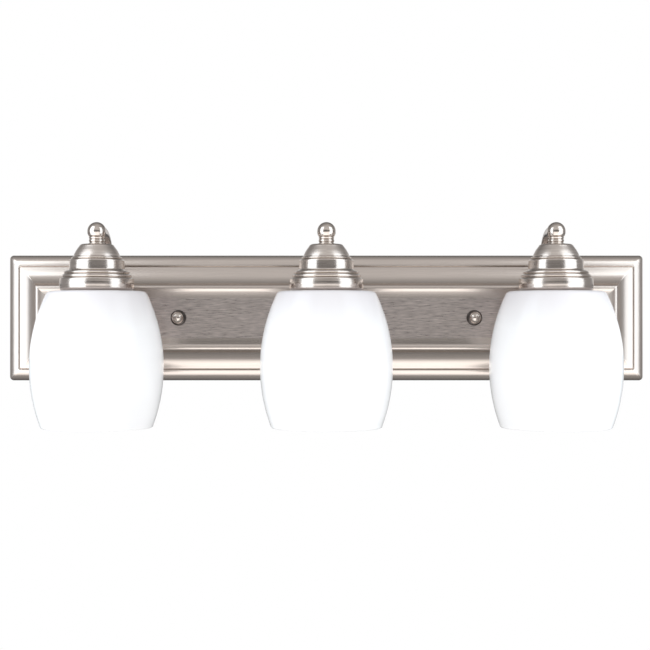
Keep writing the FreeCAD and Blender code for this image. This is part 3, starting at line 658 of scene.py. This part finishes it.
def cup(materials, unit):
    """The spun bell. Heights are below its flat top. Its dome is a little duller than its bands."""
    top, _ = hanging(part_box(f"cup_{unit}"))
    outside = [(5.0, 0.0), (12.4, 0.0), (14.3, -0.7, 15.6, -2.3), (18.3, -6.1, 20.3, -10.3), (20.4, -11.1),
               (21.4, -11.3), (22.1, -12.2, 21.6, -13.1), (22.3, -13.5), (23.7, -13.9, 24.1, -15.1),
               (24.5, -21.1), (24.5, -22.1), (25.4, -23.3, 27.6, -23.8), (28.7, -24.8, 28.2, -26.2),
               (28.6, -26.5), (30.4, -27.7, 30.0, -29.4), (30.4, -29.8), (32.0, -30.3, 32.6, -31.7),
               (32.95, -34.9, 32.6, -38.1), (32.1, -40.1, 30.9, -41.2), (30.4, -41.3)]
    inside = [(29.4, -41.3), (31.4, -37.7), (31.6, -32.1), (29.1, -29.9), (27.2, -26.1), (26.2, -24.8),
              (23.4, -22.8), (23.1, -15.3), (20.4, -13.1), (19.3, -10.7), (14.5, -2.8), (12.0, -1.0),
              (5.0, -1.0)]
    dome_foot = -10.5
    piece = turned(f"cup_{unit}_bell", outside + inside, top, materials["spun"], segments=128, edge=0.35)
    piece.data.materials.append(materials["dome"])
    for face in piece.data.polygons:
        face.material_index = int(face.center[2] > dome_foot * MM)
    settle(piece, "fixture", "brushed_nickel", f"cup_{unit}")


# ---------------------------------------------------------------- shade, ring, holder and lamp

# The thread's pitch on the lamp's screw base and in the shell that it goes in.
SCREW_BASE_PITCH = 3.63


def shade(materials, unit):
    """The opal barrel: flat top, round shoulder, one long arc for a side and a fire-polished foot."""
    low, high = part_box(f"shade_{unit}")
    crown, height = hanging((low, high))
    side, belly, wall, corner, lip, hole = 150.0, -67.1, 3.2, 4.6, 1.5, 21.0
    widest = (high.x - low.x) / 2 / MM

    def radius(z, offset):
        return widest - side + math.sqrt((side - offset) ** 2 - (z - belly) ** 2)

    def shoulder(top, bend, offset):
        centre_z = top - bend
        centre_r = widest - side + math.sqrt((side - offset - bend) ** 2 - (centre_z - belly) ** 2)
        lean = math.atan2(centre_z - belly, centre_r - widest + side)
        half = (lean + math.pi / 2) / 2
        return ((centre_r + bend * math.cos(lean), centre_z + bend * math.sin(lean)),
                (centre_r + bend * math.cos(half), centre_z + bend * math.sin(half)), (centre_r, top))

    outer, outer_middle, outer_top = shoulder(0.0, corner, 0.0)
    inner, inner_middle, inner_top = shoulder(-wall, corner - wall, wall)
    foot = -height + lip
    outer_foot, inner_foot = radius(foot, 0.0), radius(foot, wall)
    shares = [step / 40 for step in range(1, 40)]
    down = [(radius(z, 0.0), z) for z in (outer[1] + (foot - outer[1]) * share for share in shares)]
    up = [(radius(z, wall), z) for z in (foot + (inner[1] - foot) * share for share in shares)]
    steps = [(hole, -wall), (hole, 0.0), outer_top, (*outer_middle, *outer), *down,
             (outer_foot, foot), ((outer_foot + inner_foot) / 2 - 0.3, -height, inner_foot, foot), *up,
             inner, (*inner_middle, *inner_top)]
    piece = turned(f"shade_{unit}_barrel", steps, crown, materials["opal"], segments=128, edge=0.5)
    settle(piece, f"shade_{unit}", "opal_glass", f"shade_{unit}")


def shade_ring(materials, unit):
    """The ring under the glass: a threaded sleeve with a knurled shelf."""
    foot, top = standing(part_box(f"shade_ring_{unit}"))
    shelf = top - 3.0
    steps = [(19.6, 0.0), (22.2, 0.0), (23.0, 0.8), (23.0, shelf - 0.6), (23.4, shelf), (26.4, shelf),
             (27.0, shelf + 0.5), (27.0, top - 0.4), (26.6, top), (19.6, top)]

    def knurled(radius, height, angle):
        if radius < 25.5:
            return radius
        return radius - 0.55 * max(0.0, math.cos(48 * angle)) ** 2

    piece = turned(f"ring_{unit}_knurled", steps, foot, materials["zinc"], segments=288, edge=0.2,
                   shape=knurled)
    settle(piece, f"ring_{unit}", "zinc_steel", f"shade_ring_{unit}")


def holder(materials, unit):
    """The lamp holder: threaded skirt, cap with ribs, and the brass screw shell."""
    foot, top = standing(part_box(f"holder_body_{unit}"))
    shell = 13.7
    skirt = levels(19.5, 1.0, 34.0, 0.35)
    steps = [(shell, 1.0), (shell + 1.2, 0), (18.7, 0), *skirt, (19.5, 35.0), (17.0, 37.0), (17.0, top),
             (1.6, top), (1.6, 32.0), (6.0, 32.0), (6.0, 31.0), (shell, 31.0)]
    piece = turned(f"holder_{unit}_skirt", steps, foot, materials["phenolic"],
                   shape=only_outside(18.9, thread(2.5, 0.55, 1.0, 33.5)))
    settle(piece, "fixture", "holder_phenolic", f"holder_body_{unit}")

    foot, top = standing(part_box(f"holder_cap_{unit}"))
    steps = [(12.0, 0), (17.0, 0), (17.0, 6.5), (14.5, top), (4.9, top), (4.9, 4.0), (12.0, 4.0)]

    def ribbed(radius, height, angle):
        return radius - 0.45 * max(0.0, math.cos(24 * angle)) if radius > 16.5 and height > 0.6 else radius

    piece = turned(f"holder_{unit}_cap", steps, foot, materials["phenolic"], segments=192, shape=ribbed)
    settle(piece, "fixture", "holder_phenolic", f"holder_cap_{unit}")

    foot, top = standing(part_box(f"holder_shell_{unit}"))
    inside = levels(13.25, 0.6, top - 2.5, 0.35)[::-1]
    steps = [(13.65, 0.0), (13.65, top), (6.5, top), (6.5, top - 0.4), (13.25, top - 0.4), *inside,
             (13.35, 0.0)]
    rolled = thread(SCREW_BASE_PITCH, -0.35, 0.8, top - 3.0, rounded=True)

    def rolled_inside(radius, height, angle):
        return min(13.6, rolled(radius, height, angle)) if 13.0 < radius < 13.4 else radius

    piece = turned(f"holder_{unit}_shell", steps, foot, materials["brass"], segments=72, edge=0.05,
                   shape=rolled_inside)
    settle(piece, "fixture", "holder_brass", f"holder_shell_{unit}")


def lamp(materials, unit):
    """The bulb, whose neck flares into its ball at lean degrees, then the screw base, button and tip."""
    low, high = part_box(f"lamp_glass_{unit}")
    middle = (low + high) / 2
    bulb, wall, lean = 30.0, 0.9, math.radians(38)
    centre = low.z / MM + bulb

    def glass(offset):
        ball = bulb - offset
        return [(12.3 - offset, 12.0), (12.3 - offset, 7.4), (14.0 - offset, 3.0),
                (16.3 - offset, -11.0, ball * math.cos(lean), centre + ball * math.sin(lean)),
                (ball, centre, 0, centre - ball)]

    outline = follow(glass(0.0)) + follow(glass(wall))[::-1]
    piece = turned(f"lamp_{unit}_bulb", outline, Vector((middle.x, middle.y, 0)), materials["frosted"],
                   edge=0.3)
    settle(piece, f"lamp_{unit}", "frosted_glass", f"lamp_glass_{unit}")

    foot, top = standing(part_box(f"lamp_base_{unit}"))
    side = levels(13.15, 1.2, top - 2.6, 0.3)
    steps = [(12.4, 0.0), (13.0, 0.0), *side, (13.0, top - 2.4), (9.0, top), (8.4, top), (12.0, top - 3.0)]
    rolled = thread(SCREW_BASE_PITCH, 0.55, 1.2, top - 2.6, rounded=True)
    piece = turned(f"lamp_{unit}_base", steps, foot, materials["aluminium"], edge=0.1,
                   shape=only_outside(13.1, rolled))
    settle(piece, f"lamp_{unit}", "lamp_aluminium", f"lamp_base_{unit}")

    foot, top = standing(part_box(f"lamp_insulator_{unit}"))
    steps = [(0, 0), (8.2, 0), (8.2, 0.8), (7.0, 2.6, 4.6, top - 0.9), (0, top - 0.9)]
    piece = turned(f"lamp_{unit}_button", steps, foot, materials["vitrite"], segments=64)
    settle(piece, f"lamp_{unit}", "black_glass", f"lamp_insulator_{unit}")
    solder = [(0, top - 0.95), (3.6, top - 0.95), (3.3, top - 0.45, 1.8, top), (0, top)]
    piece = turned(f"lamp_{unit}_tip", solder, foot, materials["aluminium"], segments=48, edge=0.1)
    settle(piece, f"lamp_{unit}", "lamp_aluminium")


# ---------------------------------------------------------------- nuts, screws and wire nuts

def cap_nut(materials, side):
    """The ball nut, whose foot carries painted shade, and the washer under it, painted all in shade."""
    back, length = facing(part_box(f"cap_nut_{side}"))
    ball, waist, bore, bright = 5.7, 4.4, 2.11, 5.3
    centre = length - ball
    shoulder = centre - math.sqrt(ball ** 2 - (waist + 0.3) ** 2)
    steps = [(bore, 0), (6.5, 0), (6.9, 0.8, 6.3, 1.7), (5.2, 2.0), (waist, 2.5), (waist, shoulder - 0.35),
             (waist + 0.3, shoulder), (ball, centre, 0, length), (0, 9.3), (bore, 8.7)]
    piece = turned(f"cap_nut_{side}_ball", steps, back, materials["polished"], "-Y", 72, edge=0.12)
    # Painted shade: the faces on the nut's foot, outside its ball, take the near-black shaded nickel.
    piece.data.materials.append(materials["shadowed"])
    for face in piece.data.polygons:
        face.material_index = int(math.hypot(*face.center[:2]) > bright * MM)
    settle(piece, f"nut_{side}", "brushed_nickel", f"cap_nut_{side}")

    back, _ = facing(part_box(f"cap_washer_{side}"))
    steps = [(2.3, 0), (7.2, 0), (7.4, 0.2), (7.4, 0.5), (7.1, 0.8), (2.3, 0.8)]
    # Painted shade: the whole washer is near-black, standing in for the shadow under the nut.
    piece = turned(f"cap_washer_{side}_disc", steps, back, materials["shadowed"], "-Y", 72, edge=0.12)
    settle(piece, f"washer_{side}", "brushed_nickel", f"cap_washer_{side}")


def mounting_screws(materials):
    """Both long screws. They share one CAD node, which the first one takes the place of."""
    back, length = facing(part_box("mounting_screws"))
    pitch, start, end = 0.79375, 3.0, length - 0.8
    for index, side in enumerate(SIDES):
        nut = middle_of(f"cap_nut_{side}")
        steps = [(0, 0.9), (0.4, 0.9), (3.0, 0.0), (3.9, 0.9), (4.0, 2.3), (2.05, 2.3),
                 *levels(2.05, start, end, 0.14), (1.55, length), (0, length)]
        piece = turned(f"mounting_screw_{side}", steps, Vector((nut.x, back.y, nut.z)), materials["zinc"],
                       "-Y", 40, edge=0.08, shape=only_outside(1.9, thread(pitch, 0.4, start, end)))
        settle(piece, "fixture", "zinc_steel", *(["mounting_screws"] if index == 0 else []))


def wire_nut(materials, name, paint, slot):
    """A ribbed cone with two wings and a hollow mouth."""
    foot, top = standing(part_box(name))
    cone = [(5.4 - 1.8 * step / 8, 6.6 + (top - 7.8) * step / 8) for step in range(9)]
    steps = [(4.6, 0), (6.4, 0), (6.2, 6), *cone, (2.6, top), (0, top), (0, top - 3), (2.6, top - 4),
             (4.6, 6)]

    def ribbed(radius, height, angle):
        outer = 6.6 <= height <= top - 1.0 and radius > 3.4
        return radius + (0.35 * abs(math.cos(8 * angle)) - 0.2 if outer else 0.0)

    piece = turned(f"{name}_cone", steps, foot, materials[paint], segments=128, shape=ribbed)
    settle(piece, "fixture", slot, name)
    outline = [(5.6, 0.2), (7.6, 0.6), (8.0, 1.6), (7.8, 4.6), (6.6, 6.0), (5.6, 6.0)]
    half_thickness = 0.8
    for way, word in ((-1, "left"), (1, "right")):
        mesh = bmesh.new()
        faces = []
        for depth in (-half_thickness, half_thickness):
            faces.append([mesh.verts.new((way * x * MM, depth * MM, z * MM)) for x, z in outline])
            mesh.faces.new(faces[-1])
        bridge(mesh, *faces)
        bmesh.ops.bevel(mesh, geom=mesh.edges[:], offset=0.25 * MM, segments=2, affect="EDGES")
        bmesh.ops.recalc_face_normals(mesh, faces=mesh.faces)
        wing = finished_object(f"{name}_wing_{word}", mesh, materials[paint])
        wing.location = foot
        settle(wing, "fixture", slot)


def toothed_washers(materials):
    """Star washers behind the plate. They share one CAD node, which the first one takes the place of."""
    back, thick = facing(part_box("arm_washers"))
    for index, unit in enumerate(UNITS):
        foot = middle_of(f"arm_collar_{unit}")
        steps = [(5.0, 0.1), (6.9, 0.1), (8.4, 0.0), (8.4, thick), (6.9, thick - 0.1), (5.0, thick - 0.1)]

        def toothed(radius, height, angle):
            return radius - (1.3 if radius > 8 and math.cos(16 * angle) < -0.1 else 0.0)

        piece = turned(f"arm_{unit}_star_washer", steps, Vector((foot.x, back.y, foot.z)),
                       materials["zinc"], "-Y", 192, edge=0.05, shape=toothed)
        settle(piece, "fixture", "zinc_steel", *(["arm_washers"] if index == 0 else []))


def paint_cad_nodes(materials):
    """Better materials for the CAD pieces that keep their own shape."""
    paints = {
        "zinc": ["mounting_strap", "screw_lock_nuts", "arm_nuts", "nipples", "cup_nuts"],
        "green_steel": ["ground_screw"], "copper": ["ground_wire"], "brass": ["holder_contacts"],
        "black_wire": ["black_leads"], "white_wire": ["white_leads"],
    }
    for paint, names in paints.items():
        for name in names:
            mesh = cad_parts[name].data
            mesh.materials.clear()
            mesh.materials.append(materials[paint])


# ---------------------------------------------------------------- camera, light and floor

def camera():
    """Straight at the wall and level, 1.275 m from it and a little below the plate's middle."""
    data = bpy.data.cameras.new("camera")
    data.lens = 73.15
    data.sensor_width = 36.0
    piece = bpy.data.objects.new("camera", data)
    piece.location = (-0.0013, -1.275, -0.0068)
    piece.rotation_euler = (math.radians(90), 0, 0)
    bpy.context.scene.collection.objects.link(piece)
    bpy.context.scene.camera = piece


def softbox(name, place, target, width, height, power, colour):
    """A rectangular light at a place, facing its target, that the camera doesn't see."""
    data = bpy.data.lights.new(name, "AREA")
    data.shape = "RECTANGLE"
    data.size = width
    data.size_y = height
    data.energy = power
    data.color = colour
    light = bpy.data.objects.new(name, data)
    light.location = place
    light.rotation_euler = (Vector(target) - Vector(place)).to_track_quat("-Z", "Y").to_euler()
    light.visible_camera = False
    bpy.context.scene.collection.objects.link(light)


def lights():
    """A tall soft light beyond each end, cool in colour, that faces the wall just past the plate."""
    aside, out, high, inner = 0.7, -0.42, 0.3, 0.36
    width, height, colour = 0.64, 1.3, (0.82, 0.92, 1.0)
    for side, way, power in (("left", -1, 5.6), ("right", 1, 4.9)):
        softbox(f"softbox_{side}", (way * aside, out, high), (way * inner, 0, high), width, height, power,
                colour)


# How bright the room is round the light's length, as (degrees up from the camera's side, brightness).
# Straight below is at -90 and straight above at 90. Low in front is a bright band, at eye level a grey
# gap and above it a paler ceiling. The wall's side is dim, but brightens where it comes down to level.
ROOM = ((-180, 0.10), (-143, 0.16), (-120, 0.22), (-102, 0.34), (-88, 0.44), (-72, 0.42), (-64, 0.66),
        (-54, 1.70), (-45, 2.10), (-18, 2.05), (-14, 1.60), (-11, 1.05), (-8, 0.74), (-4, 0.48), (0, 0.37),
        (5, 0.25), (10, 0.11), (13, 0.26), (17, 0.66), (24, 0.77), (62, 0.80), (74, 0.73), (86, 0.57),
        (104, 0.43), (120, 0.30), (142, 0.14), (180, 1.00))


def room_ramp(tree, angle):
    """The room's colour at an angle in radians. A new ramp has a stop at each end, so those are set and
    the others added."""
    ramp = node(tree, "ShaderNodeValToRGB")
    stops = ramp.color_ramp.elements
    for stop, (_, value) in zip(stops[:], (ROOM[0], ROOM[-1])):
        stop.color = (value, value, value, 1)
    for degrees, value in ROOM[1:-1]:
        stops.new((degrees + 180) / 360).color = (value, value, value, 1)
    tree.links.new(spread(tree, angle, 0.0, 1.0, -math.pi, math.pi), ramp.inputs["Fac"])
    return ramp.outputs["Color"]


def surroundings():
    """The camera sees plain white. Everything else is lit by a room whose brightness goes by the angle
    up from the camera's side, and fades to one grey towards the two ends."""
    fade_from, fade_to, end_grey = 0.5, 0.85, (0.38, 0.38, 0.385, 1)
    world = bpy.data.worlds.new("studio")
    bpy.context.scene.world = world
    world.use_nodes = True
    tree = world.node_tree
    tree.nodes.clear()
    direction = node(tree, "ShaderNodeTexCoord").outputs["Generated"]
    apart = node(tree, "ShaderNodeSeparateXYZ")
    tree.links.new(direction, apart.inputs["Vector"])
    front = node(tree, "ShaderNodeMath", {1: -1.0}, operation="MULTIPLY")
    tree.links.new(apart.outputs["Y"], front.inputs[0])
    angle = node(tree, "ShaderNodeMath", operation="ARCTAN2")
    tree.links.new(apart.outputs["Z"], angle.inputs[0])
    tree.links.new(front.outputs["Value"], angle.inputs[1])
    sideways = node(tree, "ShaderNodeMath", operation="ABSOLUTE")
    tree.links.new(apart.outputs["X"], sideways.inputs[0])
    ends = node(tree, "ShaderNodeMix", {"B": end_grey}, data_type="RGBA")
    tree.links.new(spread(tree, sideways.outputs["Value"], 0.0, 1.0, fade_from, fade_to),
                   ends.inputs["Factor"])
    tree.links.new(room_ramp(tree, angle.outputs["Value"]), ends.inputs["A"])
    light = node(tree, "ShaderNodeBackground")
    tree.links.new(ends.outputs["Result"], light.inputs["Color"])
    seen = node(tree, "ShaderNodeBackground", {"Color": (1, 1, 1, 1), "Strength": 1.0})
    path = node(tree, "ShaderNodeLightPath")
    mix = node(tree, "ShaderNodeMixShader")
    tree.links.new(path.outputs["Is Camera Ray"], mix.inputs["Fac"])
    tree.links.new(light.outputs["Background"], mix.inputs[1])
    tree.links.new(seen.outputs["Background"], mix.inputs[2])
    output = node(tree, "ShaderNodeOutputWorld")
    tree.links.new(mix.outputs["Shader"], output.inputs["Surface"])


def floor():
    """A plain pale floor, well below the light, left out of its reflections."""
    paint = new_material("floor_paint", {"Base Color": (0.9, 0.9, 0.9, 1), "Roughness": 0.9,
                                         "Emission Color": (1, 1, 1, 1), "Emission Strength": 0.6})[0]
    mesh = bmesh.new()
    bmesh.ops.create_grid(mesh, x_segments=1, y_segments=1, size=4.0)
    piece = finished_object("floor", mesh, paint)
    piece.location = (0, -0.5, -1.6)
    piece.visible_glossy = False


# ---------------------------------------------------------------- the scene

def main():
    bpy.context.scene.view_settings.view_transform = "Standard"
    camera()
    materials = make_materials()
    backplate(materials)
    for unit in UNITS:
        for maker in (arm, arm_collar, ball_hub, neck_collar, cup, shade, shade_ring, holder, lamp):
            maker(materials, unit)
    for side in SIDES:
        cap_nut(materials, side)
    mounting_screws(materials)
    toothed_washers(materials)
    wire_nut(materials, "hot_wire_nut", "orange", "orange_plastic")
    wire_nut(materials, "neutral_wire_nut", "orange", "orange_plastic")
    wire_nut(materials, "ground_wire_nut", "green", "green_plastic")
    paint_cad_nodes(materials)
    lights()
    surroundings()
    floor()


main()
